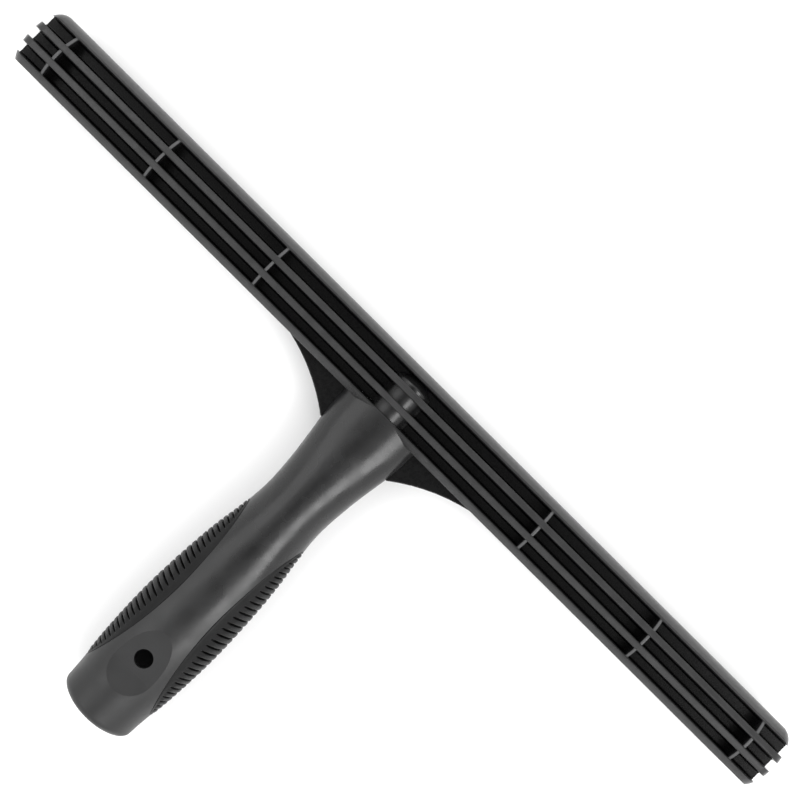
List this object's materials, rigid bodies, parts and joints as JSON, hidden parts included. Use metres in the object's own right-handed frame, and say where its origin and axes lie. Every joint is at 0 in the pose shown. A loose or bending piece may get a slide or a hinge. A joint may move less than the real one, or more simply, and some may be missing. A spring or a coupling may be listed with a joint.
{
  "type": "window washer t-bar",
  "caption": "Ribbed plastic T-bar that wears a washing sleeve, on a hollow handle with soft grip pads, a thumb scoop with a lock hole, and a pole socket.",
  "frame": {"origin": "centre of the pole socket's mouth, at the butt end of the handle", "axes": "+X along the bar, +Y up the handle towards the bar, +Z out of the front, the side with the thumb scoop and the lock hole"},
  "size_m": [0.3452, 0.1595, 0.0291],
  "materials": {
    "hard_plastic": "black moulded polypropylene, fine satin texture, rubbed lighter on the ribs' edges",
    "soft_grip": "matte black thermoplastic rubber with fine cross fins"
  },
  "bodies": {
    "root": {"ribbed_bar": "hard_plastic", "handle_core": "hard_plastic", "left_grip_pad": "soft_grip", "right_grip_pad": "soft_grip"}
  },
  "joints": []
}
